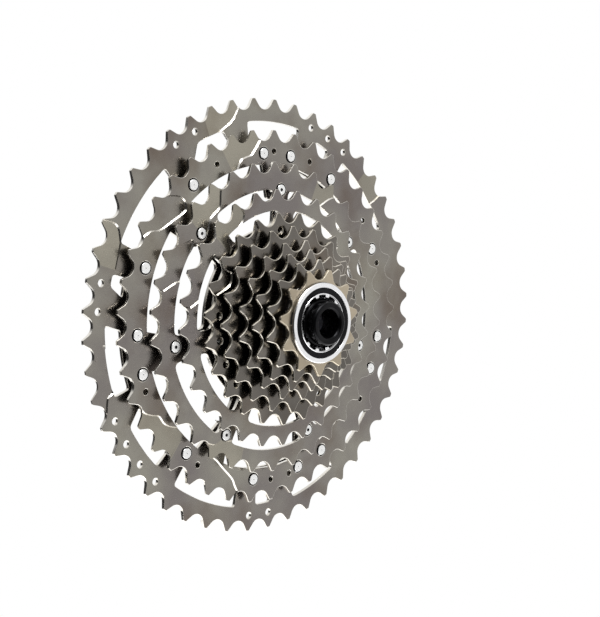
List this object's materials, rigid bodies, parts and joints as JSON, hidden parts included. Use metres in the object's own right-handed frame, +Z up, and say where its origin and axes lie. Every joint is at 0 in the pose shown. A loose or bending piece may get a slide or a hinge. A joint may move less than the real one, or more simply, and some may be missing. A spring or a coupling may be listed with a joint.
{
  "type": "bicycle rear cassette",
  "caption": "Wide-range bicycle rear cassette of stacked toothed sprockets on its splined freehub body, with lockring, bearings, pawls and a push-on axle end cap.",
  "frame": {"origin": "on the turning axis, at the plane where the axle sleeve seats against the hub", "axes": "+Y along the turning axis towards the hub, so the small sprockets and the end cap are at -Y; +Z up"},
  "size_m": [0.196, 0.056, 0.196],
  "materials": {
    "nickel_steel": "satin nickel plate with fine wear",
    "tinted_steel": "warm champagne-coloured plate",
    "rivet_steel": "polished rivet heads",
    "spacer_alloy": "dark anodised spacer rings",
    "body_alloy": "machined and anodised",
    "bearing_steel": "ground and polished",
    "rubber": "matt black",
    "black_anodised": "black anodised, slightly glossy",
    "lockring_alloy": "bright turned alloy with a black band"
  },
  "bodies": {
    "axle_stack": {"axle_sleeve": "body_alloy", "bearing_inboard_inner_race": "bearing_steel", "bearing_outboard_inner_race": "bearing_steel"},
    "driver": {"freehub_body": "body_alloy", "freehub_seal": "rubber", "bearing_inboard_outer_race": "bearing_steel", "bearing_outboard_outer_race": "bearing_steel", "pawl_spring": "bearing_steel", "sprocket_48t": "nickel_steel", "sprocket_41t": "nickel_steel", "sprocket_34t": "nickel_steel", "sprocket_28t": "nickel_steel", "sprocket_23t": "nickel_steel", "sprocket_20t": "nickel_steel", "sprocket_17t": "nickel_steel", "sprocket_15t": "nickel_steel", "sprocket_13t": "nickel_steel", "sprocket_11t": "tinted_steel", "spacer_28_23": "spacer_alloy", "spacer_23_20": "spacer_alloy", "spacer_20_17": "spacer_alloy", "spacer_17_15": "spacer_alloy", "spacer_15_13": "spacer_alloy", "rivet_48_41_01": "rivet_steel", "rivet_48_41_02": "rivet_steel", "rivet_48_41_03": "rivet_steel", "rivet_48_41_04": "rivet_steel", "rivet_48_41_05": "rivet_steel", "rivet_48_41_06": "rivet_steel", "rivet_48_41_07": "rivet_steel", "rivet_48_41_08": "rivet_steel", "rivet_48_41_09": "rivet_steel", "rivet_48_41_10": "rivet_steel", "rivet_48_41_11": "rivet_steel", "rivet_48_41_12": "rivet_steel", "rivet_48_41_13": "rivet_steel", "rivet_48_41_14": "rivet_steel", "rivet_41_34_01": "rivet_steel", "rivet_41_34_02": "rivet_steel", "rivet_41_34_03": "rivet_steel", "rivet_41_34_04": "rivet_steel", "rivet_41_34_05": "rivet_steel", "rivet_41_34_06": "rivet_steel", "rivet_41_34_07": "rivet_steel", "rivet_34_28_01": "rivet_steel", "rivet_34_28_02": "rivet_steel", "rivet_34_28_03": "rivet_steel", "rivet_34_28_04": "rivet_steel", "rivet_34_28_05": "rivet_steel", "rivet_34_28_06": "rivet_steel", "rivet_34_28_07": "rivet_steel"},
    "ball_cage_inboard": {"bearing_inboard_ball_cage": "bearing_steel"},
    "ball_cage_outboard": {"bearing_outboard_ball_cage": "bearing_steel"},
    "pawl_1": {"pawl_1": "bearing_steel"},
    "pawl_2": {"pawl_2": "bearing_steel"},
    "pawl_3": {"pawl_3": "bearing_steel"},
    "lockring_washer": {"lockring_washer": "lockring_alloy"},
    "lockring": {"lockring": "lockring_alloy"},
    "end_cap": {"end_cap": "black_anodised", "end_cap_o_ring": "rubber"}
  },
  "joints": [
    {"name": "cassette_spin", "type": "hinge", "parent": "axle_stack", "child": "driver", "pos_m": [0, 0, 0], "axis": [0, 1, 0], "continuous": true},
    {"name": "ball_cage_inboard_spin", "type": "hinge", "parent": "axle_stack", "child": "ball_cage_inboard", "pos_m": [0, -0.0125, 0], "axis": [0, 1, 0], "continuous": true},
    {"name": "ball_cage_outboard_spin", "type": "hinge", "parent": "axle_stack", "child": "ball_cage_outboard", "pos_m": [0, -0.0395, 0], "axis": [0, 1, 0], "continuous": true},
    {"name": "end_cap_pull", "type": "slide", "parent": "axle_stack", "child": "end_cap", "axis": [0, -1, 0], "range_m": [0, 0.014]},
    {"name": "lockring_travel", "type": "slide", "parent": "driver", "child": "lockring_washer", "axis": [0, -1, 0], "range_m": [0, 0.0053]},
    {"name": "lockring_turn", "type": "hinge", "parent": "lockring_washer", "child": "lockring", "pos_m": [0, -0.0495, 0], "axis": [0, -1, 0], "range_deg": [0, 1800]},
    {"name": "pawl_1_swing", "type": "hinge", "parent": "driver", "child": "pawl_1", "pos_m": [0.01301, -0.006, 0.00266], "axis": [0, -1, 0], "range_deg": [0, 9], "stiffness_Nm_per_rad": 0.05, "springref_deg": -11.46},
    {"name": "pawl_2_swing", "type": "hinge", "parent": "driver", "child": "pawl_2", "pos_m": [-0.00881, -0.006, 0.00994], "axis": [0, -1, 0], "range_deg": [0, 9], "stiffness_Nm_per_rad": 0.05, "springref_deg": -11.46},
    {"name": "pawl_3_swing", "type": "hinge", "parent": "driver", "child": "pawl_3", "pos_m": [-0.0042, -0.006, -0.0126], "axis": [0, -1, 0], "range_deg": [0, 9], "stiffness_Nm_per_rad": 0.05, "springref_deg": -11.46}
  ],
  "couplings": [
    {"joint": "ball_cage_inboard_spin", "follows": "cassette_spin", "ratio": 0.561},
    {"joint": "ball_cage_outboard_spin", "follows": "cassette_spin", "ratio": 0.561},
    {"joint": "lockring_travel", "follows": "lockring_turn", "m_per_rad": 0.00016843}
  ]
}
